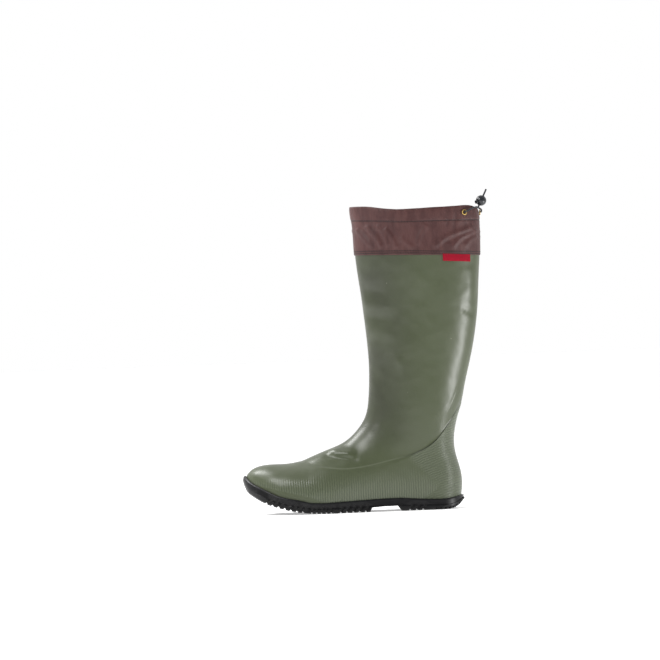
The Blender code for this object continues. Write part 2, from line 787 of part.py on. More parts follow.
def make_drawcord(cord_material, brass, black, collection, cutters):
    """The eyelets, the cord's two strands, and the lock that grips them."""
    lift = GAP + CUFF_WALL + TUNNEL_SWELL
    back_top = Vector((float(BACK_LINE[-1, 0]), 0, float(BACK_LINE[-1, 1])))
    height = back_top.z - EYELET_DROP
    back_x = float(np.interp(height, BACK_LINE[:, 1], BACK_LINE[:, 0]))
    seat = lift + GAP + EYELET_BEAD
    outer, outer_normal = outer_point(back_top.x - EYELET_SPREAD, height, seat)
    back, back_normal = Vector((back_x + seat, 0, height)), Vector((1, 0, 0))
    make_eyelet("eyelet_outer", outer, outer_normal, brass, collection)
    make_eyelet("eyelet_back", back, back_normal, brass, collection)
    centre = back_top + Vector((LOCK_BEHIND, -LOCK_OUT, LOCK_ABOVE))
    lean = math.radians(LOCK_LEAN)
    along = Vector((math.sin(lean), 0, math.cos(lean)))
    for name, eyelet, normal, route, side in (
        ("drawcord_outer", outer, outer_normal, OUTER_ROUTE, -1),
        ("drawcord_back", back, back_normal, BACK_ROUTE, 1),
    ):
        through = centre + Vector((0, side * CORD_SPREAD, 0))
        points = [eyelet - normal * EYELET_BEAD, *(eyelet + Vector(step) for step in route)]
        points += [through - along * (LOCK_RADIUS + step) for step in (1.8 * CORD_RADIUS, 0.0)]
        points += [through, through + along * LOCK_RADIUS]
        points.append(through + along * (LOCK_RADIUS + CORD_TAIL))
        make_cord(name, points, cord_material, collection)
    plunger_way = Vector((-0.80, -0.55, -0.22)).normalized()
    make_lock(centre, along, plunger_way, black, collection, cutters)


def make_tag(material, collection):
    """The bare woven tag that hangs from the cuff's lower seam."""
    columns, rows = 9, 3
    x = np.linspace(TAG_START, TAG_START + TAG_LENGTH, columns)
    seam = np.interp(x, LEVELS[2][:, 0], LEVELS[2][:, 1])
    work = bmesh.new()
    grid = []
    for k in range(rows):
        z = seam - 2 * GAP - TAG_DROP * k / (rows - 1)
        lift = GAP + TAG_THICKNESS
        grid.append([work.verts.new(outer_point(float(a), float(b), lift)[0]) for a, b in zip(x, z)])
    for high, low in zip(grid, grid[1:]):
        for i in range(columns - 1):
            work.faces.new((low[i], low[i + 1], high[i + 1], high[i]))
    tag = finish("side_tag", work, material, collection)
    solidify = tag.modifiers.new("thickness", "SOLIDIFY")
    solidify.thickness = TAG_THICKNESS
    solidify.offset = -1.0


def build():
    """Empty the scene and model the boot."""
    for old in list(bpy.data.objects):
        bpy.data.objects.remove(old, do_unlink=True)
    boot = bpy.data.collections.new("foldable_rain_boot")
    cutters = bpy.data.collections.new("cutters")
    for collection in (boot, cutters):
        bpy.context.scene.collection.children.link(collection)
    green = plain_material("green_rubber", (0.12, 0.13, 0.075), 0.38)
    black = plain_material("black_rubber", (0.022, 0.022, 0.024), 0.55)
    brown = plain_material("brown_nylon", (0.115, 0.062, 0.060), 0.60)
    felt = plain_material("grey_footbed", (0.20, 0.20, 0.19), 0.90)
    brass = plain_material("brass", (0.60, 0.47, 0.22), 0.30, 1.0)
    black_plastic = plain_material("black_plastic", (0.020, 0.021, 0.023), 0.35)
    black_cord = plain_material("black_cord", (0.024, 0.025, 0.027), 0.80)
    red = plain_material("red_tape", (0.45, 0.015, 0.035), 0.70)

    foot_rises = [i / FOOT_BANDS for i in range(FOOT_BANDS + 1)]
    leg_rises = [(i / LEG_BANDS) ** 1.05 for i in range(1, LEG_BANDS + 1)]
    lap = COLLAR_LAP / float(FRONT_LINE[-1, 1] - FRONT_LINE[front_cuts[2], 1])
    rings = [ring_at(0, 0.0, RIM_DEPTH - GAP)]
    rings += [ring_at(0, rise) for rise in foot_rises]
    rings.append(ring_at(1, OVERLAY / SHAFT_RISE))
    rings += [ring_at(1, rise) for rise in leg_rises]
    rings.append(ring_at(2, lap))
    rings = np.array(rings)
    normals = skin_normals(rings)
    normals[:2] = plan_normals(rings[1])
    outside, inside = make_upper(rings, normals, green, boot)
    make_insole(inside, felt, boot)
    make_outsole(outside, black, boot, cutters)
    make_cuff(brown, boot)
    make_drawcord(black_cord, brass, black_plastic, boot, cutters)
    make_tag(red, boot)


build()
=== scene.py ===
"""Looks of a foldable rain boot: moulded rubber with a ribbed foot, a nylon cuff and a drawcord.

Sizes in the sections are millimetres in the boot's own frame (toe towards -X, outer side towards
-Y, up +Z). The camera's distance, the floor and the places and sizes of the lights are metres.
"""
import math

import bpy
import numpy as np
from mathutils import Matrix, Vector
from mathutils.bvhtree import BVHTree


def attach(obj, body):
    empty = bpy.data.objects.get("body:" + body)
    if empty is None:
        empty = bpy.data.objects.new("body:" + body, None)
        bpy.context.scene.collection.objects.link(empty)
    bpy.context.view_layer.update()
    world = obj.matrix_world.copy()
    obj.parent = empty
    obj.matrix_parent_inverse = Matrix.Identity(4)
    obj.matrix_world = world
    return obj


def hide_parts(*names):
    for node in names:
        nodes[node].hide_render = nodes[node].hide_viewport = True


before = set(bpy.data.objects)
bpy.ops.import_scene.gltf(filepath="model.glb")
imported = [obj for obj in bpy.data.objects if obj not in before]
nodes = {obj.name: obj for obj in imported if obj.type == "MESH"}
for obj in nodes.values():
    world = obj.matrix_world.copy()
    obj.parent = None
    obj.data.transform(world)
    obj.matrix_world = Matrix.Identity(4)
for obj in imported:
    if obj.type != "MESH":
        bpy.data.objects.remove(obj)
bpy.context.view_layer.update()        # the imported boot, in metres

MM = 0.001

# Camera: a long lens on the boot's outer side, level with mid shaft and rolled a little, so that
# the floor line rises towards the heel as it does in the photograph.
PHOTO_PIXELS = 660
MM_PER_PIXEL = 1.219
CAMERA_DISTANCE = 6.0
CAMERA_ROLL = math.radians(2.1)
VIEW_CENTRE = (-113.8, 222.3)

bpy.ops.object.select_all(action="DESELECT")
bpy.ops.object.camera_add()
camera = bpy.context.object
camera.name = "product_camera"
roll_cos, roll_sin = math.cos(CAMERA_ROLL), math.sin(CAMERA_ROLL)
camera.matrix_world = Matrix((
    (roll_cos, roll_sin, 0.0, VIEW_CENTRE[0] * MM),
    (0.0, 0.0, -1.0, -CAMERA_DISTANCE),
    (-roll_sin, roll_cos, 0.0, VIEW_CENTRE[1] * MM),
    (0.0, 0.0, 0.0, 1.0),
))
camera.data.lens = camera.data.sensor_width * CAMERA_DISTANCE / (PHOTO_PIXELS * MM_PER_PIXEL * MM)
bpy.context.scene.camera = camera

# Drawcord: black braided polyester, about 2 mm thick, in two strands. Each leaves its eyelet, is
# gripped by the ball lock and ends in a short heat-sealed tail.
CORD_DIAMETER = 2.1
CORD_BRAID = 0.9
CORD_POINTS = 40
SEALED_END = 0.7
CORD_OUTER_ROUTE = (
    (53.88, -29.25, 359.06), (55.95, -31.21, 359.70), (63.85, -25.51, 363.70),
    (69.35, -17.31, 365.20), (72.10, -9.50, 365.61), (72.93, -9.50, 367.31),
    (75.78, -9.50, 373.15), (78.63, -9.50, 378.99), (82.48, -9.50, 386.90),
)
CORD_BACK_ROUTE = (
    (72.98, 0.0, 358.95), (75.58, -0.60, 359.75), (75.78, -2.80, 361.95),
    (72.10, -6.50, 365.61), (72.93, -6.50, 367.31), (75.78, -6.50, 373.15),
    (78.63, -6.50, 378.99), (82.48, -6.50, 386.90),
)


def hex_colour(text):
    """A linear colour from an sRGB hex value."""
    parts = [int(text[i:i + 2], 16) / 255 for i in (0, 2, 4)]
    return (*[c / 12.92 if c < 0.04045 else ((c + 0.055) / 1.055) ** 2.4 for c in parts], 1.0)


def add_node(material, kind, sockets=None, out=0, **settings):
    """Add a node with its settings and links, and return one of its outputs.

    A socket's value is a constant or the output that feeds it.
    """
    node = material.node_tree.nodes.new("ShaderNode" + kind)
    for name, value in settings.items():
        setattr(node, name, value)
    for name, value in (sockets or {}).items():
        if isinstance(value, bpy.types.NodeSocket):
            material.node_tree.links.new(value, node.inputs[name])
        else:
            node.inputs[name].default_value = value
    return node.outputs[out]


def new_material(name, constants):
    """A Principled material with constants on its shader, and its object coordinates."""
    material = bpy.data.materials.new(name)
    material.use_nodes = True
    shader = material.node_tree.nodes["Principled BSDF"]
    for socket, value in constants.items():
        shader.inputs[socket].default_value = value
    return material, shader, add_node(material, "TexCoord", out="Object")


def feed(shader, socket, output):
    """Link a pattern to one of the shader's sockets."""
    shader.id_data.links.new(output, shader.inputs[socket])


def dress(piece, material):
    """Give a piece one material in place of what it had."""
    piece.data.materials.clear()
    piece.data.materials.append(material)


# Braided polyester: matt, and its strands cross along the cord
braided_polyester, shader, place = new_material("braided_polyester", {
    "Base Color": hex_colour("26272b"), "Roughness": 0.75})
braid = add_node(braided_polyester, "TexVoronoi", {"Vector": place, "Scale": 1 / (CORD_BRAID * MM)})
braid = add_node(braided_polyester, "Bump", {
    "Height": braid, "Strength": 0.8, "Distance": 0.15 * MM})
feed(shader, "Normal", braid)


def drawn_cord(name, route, replaced):
    """A cord on one smooth curve through its route's points, thinner where its end is sealed."""
    points = np.array(route) * MM
    chord = np.concatenate([[0], np.cumsum(np.linalg.norm(np.diff(points, axis=0), axis=1))])
    slope = np.gradient(points, chord, axis=0)
    at = np.linspace(0, chord[-1], CORD_POINTS)
    i = np.clip(np.searchsorted(chord, at, side="right") - 1, 0, len(points) - 2)
    span = (chord[i + 1] - chord[i])[:, None]
    t = (at[:, None] - chord[i][:, None]) / span
    line = (points[i] * (1 + 2 * t) * (1 - t) ** 2 + slope[i] * span * t * (1 - t) ** 2
            + points[i + 1] * t * t * (3 - 2 * t) + slope[i + 1] * span * t * t * (t - 1))
    curve = bpy.data.curves.new(name, "CURVE")
    curve.dimensions = "3D"
    curve.bevel_depth = CORD_DIAMETER / 2 * MM
    curve.bevel_resolution = 4
    curve.use_fill_caps = True
    spline = curve.splines.new("POLY")
    spline.points.add(len(line) - 1)
    for point, position in zip(spline.points, line):
        point.co = (*position, 1.0)
    spline.points[-1].radius = SEALED_END
    piece = bpy.data.objects.new(name, curve)
    bpy.context.scene.collection.objects.link(piece)
    dress(piece, braided_polyester)
    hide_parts(replaced)
    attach(piece, "root")


drawn_cord("drawcord_outer_strand", CORD_OUTER_ROUTE, "drawcord_outer")
drawn_cord("drawcord_back_strand", CORD_BACK_ROUTE, "drawcord_back")


# Upper: one boot of green natural rubber, about 1.5 mm thick, over a knitted lining. The foot,
# heel and ankle carry a thicker moulded piece with fine ribs, and the shaft is smooth.
EDGE_OF_FOOT_PIECE = (
    # along x, height z
    (-172.0, 66.0), (-156.4, 61.0), (-138.2, 57.5), (-113.9, 53.9), (-101.7, 52.9),
    (-89.5, 53.6), (-71.1, 56.1), (-46.6, 61.3), (-22.0, 67.1), (-9.6, 71.5), (0.4, 76.7),
    (8.9, 82.8), (19.4, 95.2), (29.6, 108.4), (41.0, 129.0),
)
# Folds and hollows of the soft rubber on both sides: a trough has a height below 0
RUBBER_FOLDS = (
    # height, width, (x, z) points along it
    (3.0, 5.5, ((-124.0, 75.0), (-106.0, 72.0), (-86.0, 69.0))),
    (-1.8, 2.8, ((-130.0, 70.5), (-108.0, 66.8), (-82.0, 63.5))),
    (-0.6, 4.0, ((-156.0, 60.5), (-122.0, 59.5), (-96.0, 64.0))),
    (0.9, 9.0, ((-84.0, 254.0), (-62.0, 252.0), (-34.0, 245.0))),
    (-1.3, 9.0, ((-88.0, 272.0), (-66.0, 268.0), (-40.0, 260.0))),
    (-1.2, 8.0, ((-82.0, 238.0), (-60.0, 236.0), (-32.0, 230.0))),
    (0.8, 8.0, ((-76.0, 222.0), (-54.0, 219.0), (-30.0, 213.0))),
    (-1.2, 3.5, ((45.0, 244.0), (56.0, 239.0), (64.0, 233.0))),
    (1.0, 8.0, ((61.0, 300.0), (60.0, 270.0), (58.0, 249.0))),
    (-1.5, 14.0, ((-45.0, 200.0), (-43.0, 130.0), (-48.0, 105.0))),
    (1.1, 5.0, ((-35.0, 190.0), (-31.0, 180.0), (-29.0, 168.0))),
    (-1.0, 18.0, ((-10.0, 280.0), (-16.0, 200.0))),
)
# On the inner side the folds lie a little further back and lower
FAR_FOLDS_SHIFT = (-4.0, 3.0)
FOLDS_STOP_HEIGHT = (300.0, 285.0)
FOLDS_STOP_ACROSS = (4.0, 16.0)
INSTEP_BACK, INSTEP_LOW, INSTEP_HIGH = -52.0, 55.0, 105.0
BACK_OF_LEG = ((42.0, 110.0), (50.0, 150.0), (60.0, 215.0), (68.0, 290.0))
BACK_FULLNESS, BACK_FULLNESS_WIDTH = 0.7, 12.0
# The rubber's middle line, from the toe to the ankle and up the leg, tells outside from inside
MIDDLE_LINE = ((-200, 35), (-100, 45), (-30, 70), (-15, 140), (-3, 370))


def copy_of(node_name, name):
    """A free copy of a CAD node's mesh, merged and turned back into quads."""
    piece = bpy.data.objects.new(name, nodes[node_name].data.copy())
    bpy.context.scene.collection.objects.link(piece)
    bpy.ops.object.select_all(action="DESELECT")
    bpy.context.view_layer.objects.active = piece
    piece.select_set(True)
    bpy.ops.object.mode_set(mode="EDIT")
    bpy.ops.mesh.select_all(action="SELECT")
    bpy.ops.mesh.remove_doubles(threshold=0.01 * MM)
    bpy.ops.mesh.tris_convert_to_quads(
        face_threshold=math.radians(60), shape_threshold=math.radians(75))
    bpy.ops.object.mode_set(mode="OBJECT")
    return piece


def finer(piece, levels):
    """Round a piece's mesh off with applied subdivision."""
    smoother = piece.modifiers.new("finer", "SUBSURF")
    smoother.levels = smoother.render_levels = levels
    bpy.context.view_layer.objects.active = piece
    bpy.ops.object.modifier_apply(modifier=smoother.name)
    piece.data.shade_smooth()


def fade(values, start, end):
    """0 up to start, 1 from end on and even between."""
    return np.clip((values - start) / (end - start), 0, 1)


def along_line(points, line):
    """Each point's distance from a line, its nearest spot there and that spot's share of the run."""
    line = np.array(line, float)
    run = np.concatenate([[0], np.cumsum(np.linalg.norm(np.diff(line, axis=0), axis=1))])
    best, share = np.full(len(points), np.inf), np.zeros(len(points))
    nearest = np.zeros((len(points), 2))
    for i, (start, end) in enumerate(zip(line, line[1:])):
        way = end - start
        t = np.clip(((points - start) @ way) / (way @ way), 0, 1)
        spot = start + t[:, None] * way
        away = np.linalg.norm(points - spot, axis=1)
        closer = away < best
        share = np.where(closer, (run[i] + t * (run[i + 1] - run[i])) / run[-1], share)
        nearest = np.where(closer[:, None], spot, nearest)
        best = np.minimum(best, away)
    return best, nearest, share


def nearness(points, line, width, taper=0.3):
    """1 along a line through side-view points, falling softly to 0 over its width and its ends."""
    away, _, share = along_line(points, line)
    ends = np.clip(np.minimum(share, 1 - share) / taper, 0, 1)
    return np.exp(-(away / width) ** 2) * ends * ends * (3 - 2 * ends)


def read_mesh(piece):
    """A mesh's points in millimetres and its normals."""
    count = len(piece.data.vertices)
    points, normals = np.empty(count * 3), np.empty(count * 3)
    piece.data.vertices.foreach_get("co", points)
    piece.data.vertex_normals.foreach_get("vector", normals)
    return points.reshape(-1, 3) / MM, normals.reshape(-1, 3)


def write_mesh(piece, points):
    """Put a mesh's points back."""
    piece.data.vertices.foreach_set("co", (points * MM).ravel())
    piece.data.update()


def facing_out(points, normals):
    """1 where a wall faces away from the boot's middle line, -1 where it faces inside."""
    nearest = along_line(points[:, [0, 2]], MIDDLE_LINE)[1]
    outward = points - np.stack([nearest[:, 0], np.zeros(len(points)), nearest[:, 1]], axis=-1)
    return np.where((outward * normals).sum(axis=1) >= 0, 1.0, -1.0)


def on_far_side(points):
    """0 on the boot's outer side and 1 on its inner side."""
    return fade(points[:, 1], -5.0, 15.0)


upper = copy_of("upper", "rubber_upper")
finer(upper, 2)
bpy.ops.object.mode_set(mode="EDIT")
bpy.ops.mesh.select_all(action="DESELECT")
bpy.ops.object.mode_set(mode="OBJECT")
# The instep bends most, so its faces are made finer before it is folded
for face in upper.data.polygons:
    face.select = (face.center.x < INSTEP_BACK * MM
                   and INSTEP_LOW * MM < face.center.z < INSTEP_HIGH * MM)
bpy.ops.object.mode_set(mode="EDIT")
bpy.ops.mesh.subdivide(number_cuts=2, smoothness=0.0)
bpy.ops.object.mode_set(mode="OBJECT")
points, normals = read_mesh(upper)
shifted = points[:, [0, 2]] + on_far_side(points)[:, None] * np.array(FAR_FOLDS_SHIFT)
lift = np.zeros(len(points))
for height, width, line in RUBBER_FOLDS:
    lift += height * nearness(shifted, line, width)
# Folds stop below the cuff, and fade towards the middle so that the outline stays even
lift *= fade(points[:, 2], *FOLDS_STOP_HEIGHT) * fade(np.abs(points[:, 1]), *FOLDS_STOP_ACROSS)
# The back of the leg stands a little fuller than the subdivided rings leave it
lift += BACK_FULLNESS * nearness(points[:, [0, 2]], BACK_OF_LEG, BACK_FULLNESS_WIDTH)
write_mesh(upper, points + normals * (facing_out(points, normals) * lift)[:, None])

# Green rubber: dipped and cured, so it is smooth with a soft gloss. Painted shade darkens it in
# mottled patches down the shaft's front
RIB_PITCH, RIB_HEIGHT = 2.9, 0.16
HEEL_RIB_PITCH, HEEL_RIB_LEAN = 2.0, 0.32
RIB_WOBBLE, WOBBLE_SIZE = 2.4, 14.0
# Lines across the boot's side, as lean times height plus length, and from where to where each
# lets the ribs change
HEEL_TURN = (0.875, 26.0, 42.0)
HEEL_PATCH = (-1.45, -30.0, -26.0)
TOE_BAND = (2.15, -102.0, -98.0)
TOE_SIDE = (3.85, -69.0, -64.0)
# Heights and lengths from where to where a pattern or the front's painted shade comes in
BELOW_EDGE, LOW_ON_FOOT, UNDER_TOE_TOP = (0.8, -1.6), (62.0, 22.0), (47.5, 38.0)
BEHIND_TOES, SHADED_FRONT, SHADED_SHAFT = (-165.0, -120.0), (10.0, -60.0), (60.0, 110.0)
PEEL_SIZE, WAVE_SIZE, SHADE_MOTTLE_SIZE, DUST_SPACING = 1.6, 22.0, 45.0, 26.0
EDGE_LINE_ABOVE, EDGE_LINE_FADE = 0.6, (1.2, 0.4)
green_rubber, shader, place = new_material("green_rubber", {
    "Roughness": 0.37, "IOR": 1.5, "Coat Weight": 0.05, "Coat Roughness": 0.28})
along, _, up = add_node(green_rubber, "SeparateXYZ", {0: place}).node.outputs


def past_line(lean, start, end):
    """0 before a line that leans across the boot's side, 1 behind it and smooth between."""
    leaning = add_node(green_rubber, "Math", {0: up, 1: lean, 2: along}, operation="MULTIPLY_ADD")
    return add_node(green_rubber, "MapRange", {
        "Value": leaning, "From Min": start * MM, "From Max": end * MM},
        interpolation_type="SMOOTHSTEP")


wobble = add_node(green_rubber, "TexNoise", {
    "Vector": place, "Scale": 1 / (WOBBLE_SIZE * MM), "Detail": 2.0})
wobble = add_node(green_rubber, "Math", {0: wobble, 1: RIB_WOBBLE * MM}, operation="MULTIPLY")
upright = add_node(green_rubber, "Math", {0: along, 1: wobble}, operation="ADD")
upright = add_node(green_rubber, "Math", {
    0: upright, 1: 2 * math.pi / (RIB_PITCH * MM)}, operation="MULTIPLY")
upright = add_node(green_rubber, "Math", {0: upright}, operation="SINE")
slanting = add_node(green_rubber, "Math", {
    0: along, 1: HEEL_RIB_LEAN, 2: up}, operation="MULTIPLY_ADD")
slanting = add_node(green_rubber, "Math", {0: slanting, 1: wobble}, operation="ADD")
slanting = add_node(green_rubber, "Math", {
    0: slanting, 1: 2 * math.pi / (HEEL_RIB_PITCH * MM)}, operation="MULTIPLY")
slanting = add_node(green_rubber, "Math", {0: slanting}, operation="SINE")
# Behind a line that leans forwards, the ribs turn and lie along the heel and ankle
behind = add_node(green_rubber, "Math", {
    0: past_line(*HEEL_TURN), 1: past_line(*HEEL_PATCH)}, operation="MAXIMUM")
ribs = add_node(green_rubber, "Mix", {0: behind, 2: upright, 3: slanting})
# The foot piece's edge as a curve of height over length
EDGE_LENGTH, EDGE_START, EDGE_HEIGHT = 216.0, -174.0, 140.0
edge_share = add_node(green_rubber, "MapRange", {
    "Value": along, "From Min": EDGE_START * MM, "From Max": (EDGE_START + EDGE_LENGTH) * MM})
edge_height = add_node(green_rubber, "FloatCurve", {"Value": edge_share})
edge_curve = edge_height.node.mapping
edge_spots = [((x - EDGE_START) / EDGE_LENGTH, z / EDGE_HEIGHT) for x, z in EDGE_OF_FOOT_PIECE]
edge_curve.curves[0].points[0].location = edge_spots[0]
edge_curve.curves[0].points[1].location = edge_spots[-1]
for spot in edge_spots[1:-1]:
    edge_curve.curves[0].points.new(*spot)
edge_curve.update()
edge_height = add_node(green_rubber, "Math", {
    0: edge_height, 1: EDGE_HEIGHT * MM}, operation="MULTIPLY")
above_edge = add_node(green_rubber, "Math", {0: up, 1: edge_height}, operation="SUBTRACT")
on_foot = add_node(green_rubber, "MapRange", {
    "Value": above_edge, "From Min": BELOW_EDGE[0] * MM, "From Max": BELOW_EDGE[1] * MM},
    interpolation_type="SMOOTHSTEP")
# Ribs are strongest above the sole, fade over the toes and stop at the smooth band by the toe
low_down = add_node(green_rubber, "MapRange", {
    "Value": up, "From Min": LOW_ON_FOOT[0] * MM, "From Max": LOW_ON_FOOT[1] * MM},
    interpolation_type="SMOOTHSTEP")
low_down = add_node(green_rubber, "Math", {0: low_down, 1: behind}, operation="MAXIMUM")
past_band = add_node(green_rubber, "Math", {
    0: past_line(*TOE_BAND), 1: past_line(*TOE_SIDE)}, operation="MAXIMUM")
under_toe_top = add_node(green_rubber, "MapRange", {
    "Value": up, "From Min": UNDER_TOE_TOP[0] * MM, "From Max": UNDER_TOE_TOP[1] * MM},
    interpolation_type="SMOOTHSTEP")
behind_toes = add_node(green_rubber, "MapRange", {
    "Value": along, "From Min": BEHIND_TOES[0] * MM, "From Max": BEHIND_TOES[1] * MM},
    interpolation_type="SMOOTHSTEP")
off_toes = add_node(green_rubber, "Math", {0: under_toe_top, 1: behind_toes}, operation="MAXIMUM")
strength = add_node(green_rubber, "Math", {0: on_foot, 1: low_down}, operation="MULTIPLY")
strength = add_node(green_rubber, "Math", {0: strength, 1: past_band}, operation="MULTIPLY")
strength = add_node(green_rubber, "Math", {0: strength, 1: off_toes}, operation="MULTIPLY")
ribs = add_node(green_rubber, "Math", {0: ribs, 1: strength}, operation="MULTIPLY")
# The skin: a faint orange peel over broad, shallow waves
peel = add_node(green_rubber, "TexNoise", {
    "Vector": place, "Scale": 1 / (PEEL_SIZE * MM), "Detail": 2.0})
peel = add_node(green_rubber, "Math", {0: peel, 1: 0.03}, operation="MULTIPLY")
waves = add_node(green_rubber, "TexNoise", {
    "Vector": place, "Scale": 1 / (WAVE_SIZE * MM), "Detail": 1.0})
skin = add_node(green_rubber, "Math", {0: waves, 1: 1.1, 2: peel}, operation="MULTIPLY_ADD")
skin = add_node(green_rubber, "Bump", {"Height": skin, "Strength": 1.0, "Distance": 1.0 * MM})
relief = add_node(green_rubber, "Bump", {
    "Height": ribs, "Strength": 0.8, "Distance": RIB_HEIGHT * MM, "Normal": skin})
feed(shader, "Normal", relief)
# Colour: olive, with painted shade down the shaft's front and painted highlight and shade on the ribs
shade_mottle = add_node(green_rubber, "TexNoise", {
    "Vector": place, "Scale": 1 / (SHADE_MOTTLE_SIZE * MM), "Detail": 4.0})
shade_mottle = add_node(green_rubber, "Math", {0: shade_mottle, 1: 1.3}, operation="MULTIPLY")
# Painted shade: the shaft's front is darkened above the foot, in mottled patches
front = add_node(green_rubber, "MapRange", {
    "Value": along, "From Min": SHADED_FRONT[0] * MM, "From Max": SHADED_FRONT[1] * MM},
    interpolation_type="SMOOTHSTEP")
on_shaft = add_node(green_rubber, "MapRange", {
    "Value": up, "From Min": SHADED_SHAFT[0] * MM, "From Max": SHADED_SHAFT[1] * MM},
    interpolation_type="SMOOTHSTEP")
front = add_node(green_rubber, "Math", {0: front, 1: on_shaft}, operation="MULTIPLY")
front = add_node(green_rubber, "Math", {0: front, 1: shade_mottle}, operation="MULTIPLY")
olive = add_node(green_rubber, "Mix", {
    0: front, 6: hex_colour("454c35"), 7: hex_colour("303324")}, out=2, data_type="RGBA")
# Painted light on the ribs: lighter on their crests as a painted highlight, darker in their grooves
# as painted shade
rib_shade = add_node(green_rubber, "MapRange", {
    "Value": ribs, "From Min": -0.9, "From Max": 0.9}, interpolation_type="SMOOTHSTEP")
rib_light_and_shade = add_node(green_rubber, "Mix", {
    0: rib_shade, 6: hex_colour("434a38"), 7: hex_colour("575e49")}, out=2, data_type="RGBA")
olive = add_node(green_rubber, "Mix", {
    0: strength, 6: olive, 7: rib_light_and_shade}, out=2, data_type="RGBA")
# A line follows the foot piece's edge: a painted highlight along its ledge over the instep, and
# painted shade at the ankle
off_line = add_node(green_rubber, "Math", {
    0: above_edge, 1: EDGE_LINE_ABOVE * MM}, operation="SUBTRACT")
off_line = add_node(green_rubber, "Math", {0: off_line}, operation="ABSOLUTE")
painted_edge_line = add_node(green_rubber, "MapRange", {
    "Value": off_line, "From Min": EDGE_LINE_FADE[0] * MM, "From Max": EDGE_LINE_FADE[1] * MM},
    interpolation_type="SMOOTHSTEP")
EDGE_LINE_HIGHLIGHT_AND_SHADE = (
    # stretches along x that fade it in and out, how much of it shows, colour
    # painted highlight over the instep
    (((-140.0, -110.0), (-10.0, -45.0)), 0.3, "6f7563"),
    # painted shade at the ankle
    (((-50.0, 5.0),), 0.75, "181a12"),
)
for stretches, tint, colour in EDGE_LINE_HIGHLIGHT_AND_SHADE:
    shown = painted_edge_line
    for start, end in stretches:
        stretch = add_node(green_rubber, "MapRange", {
            "Value": along, "From Min": start * MM, "From Max": end * MM},
            interpolation_type="SMOOTHSTEP")
        shown = add_node(green_rubber, "Math", {0: shown, 1: stretch}, operation="MULTIPLY")
    shown = add_node(green_rubber, "Math", {0: shown, 1: tint}, operation="MULTIPLY")
    olive = add_node(green_rubber, "Mix", {
        0: shown, 6: olive, 7: hex_colour(colour)}, out=2, data_type="RGBA")
# Pale specks of dust
specks = add_node(green_rubber, "TexVoronoi", {
    "Vector": place, "Scale": 1 / (DUST_SPACING * MM), "Randomness": 1.0})
specks = add_node(green_rubber, "MapRange", {
    "Value": specks, "From Min": 0.022, "From Max": 0.012}, interpolation_type="SMOOTHSTEP")
olive = add_node(green_rubber, "Mix", {
    0: specks, 6: olive, 7: hex_colour("8d917e")}, out=2, data_type="RGBA")
feed(shader, "Base Color", olive)

# Lining: a grey cotton knit bonded to the rubber's inside. Its raised loops leave it soft to the
# eye and without gloss.
KNIT_PITCH = 1.6
# A wave pattern repeats about three times in each unit of its scale
WAVE_REPEATS = 3
cotton_knit, shader, place = new_material("cotton_knit", {
    "Base Color": hex_colour("6a6a64"), "Roughness": 0.95, "Sheen Weight": 0.3})
loops = add_node(cotton_knit, "TexWave", {
    "Vector": place, "Scale": 1 / (KNIT_PITCH * MM) / WAVE_REPEATS, "Distortion": 3.0, "Detail": 2.0},
    out="Fac", bands_direction="Z")
loops = add_node(cotton_knit, "Bump", {"Height": loops, "Strength": 0.7, "Distance": 0.3 * MM})
feed(shader, "Normal", loops)
dress(upper, green_rubber)
upper.data.materials.append(cotton_knit)
inner = facing_out(*read_mesh(upper)) < 0
for face in upper.data.polygons:
    face.material_index = int(all(inner[v] for v in face.vertices))
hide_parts("upper")
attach(upper, "root")


# Insole: a thin footbed of grey felt on foam, cut to the boot's inside and laid loose on the bed
# of the outsole
insole = copy_of("insole", "felt_insole")
finer(insole, 2)
# Grey felt: needled from loose fibres, so it is matt and a little fuzzy. The fibres are drawn
# thicker than they are, so that they show.
FIBRE_SIZE = 0.8
grey_felt, shader, place = new_material("grey_felt", {
    "Base Color": hex_colour("77766f"), "Roughness": 0.95, "Sheen Weight": 0.4})
fibres = add_node(grey_felt, "TexNoise", {
    "Vector": place, "Scale": 1 / (FIBRE_SIZE * MM), "Detail": 6.0})
fibres = add_node(grey_felt, "Bump", {"Height": fibres, "Strength": 0.7, "Distance": 0.4 * MM})
feed(shader, "Normal", fibres)
dress(insole, grey_felt)
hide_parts("insole")
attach(insole, "root")


# Outsole: black rubber, moulded and cured onto the upper. Its edges are softened, and it is matt
# with faint patches of bloom.
SOFT_EDGE = 0.5
GRAIN_SIZE, BLOOM_SIZE = 1.2, 9.0
outsole = copy_of("outsole", "rubber_outsole")
soften = outsole.modifiers.new("soft_edges", "BEVEL")
soften.width = SOFT_EDGE * MM
soften.segments = 2
soften.limit_method = "ANGLE"
soften.angle_limit = math.radians(32)
bpy.context.view_layer.objects.active = outsole
bpy.ops.object.modifier_apply(modifier=soften.name)
bpy.ops.object.shade_smooth_by_angle(angle=math.radians(40))
# Black rubber: moulded, with a fine grain that dulls its gloss and a faint grey bloom
black_rubber, shader, place = new_material("black_rubber", {
    "Roughness": 0.36, "IOR": 1.5, "Specular IOR Level": 0.26})
grain = add_node(black_rubber, "TexNoise", {
    "Vector": place, "Scale": 1 / (GRAIN_SIZE * MM), "Detail": 3.0})
grain = add_node(black_rubber, "Bump", {"Height": grain, "Strength": 0.5, "Distance": 0.15 * MM})
feed(shader, "Normal", grain)
bloom = add_node(black_rubber, "TexNoise", {
    "Vector": place, "Scale": 1 / (BLOOM_SIZE * MM), "Detail": 5.0})
bloom = add_node(black_rubber, "MapRange", {
    "Value": bloom, "From Min": 0.35, "From Max": 0.7}, interpolation_type="SMOOTHSTEP")
bloom = add_node(black_rubber, "Mix", {
    0: bloom, 6: hex_colour("08080a"), 7: hex_colour("101012")}, out=2, data_type="RGBA")
feed(shader, "Base Color", bloom)
dress(outsole, black_rubber)
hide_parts("outsole")
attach(outsole, "root")


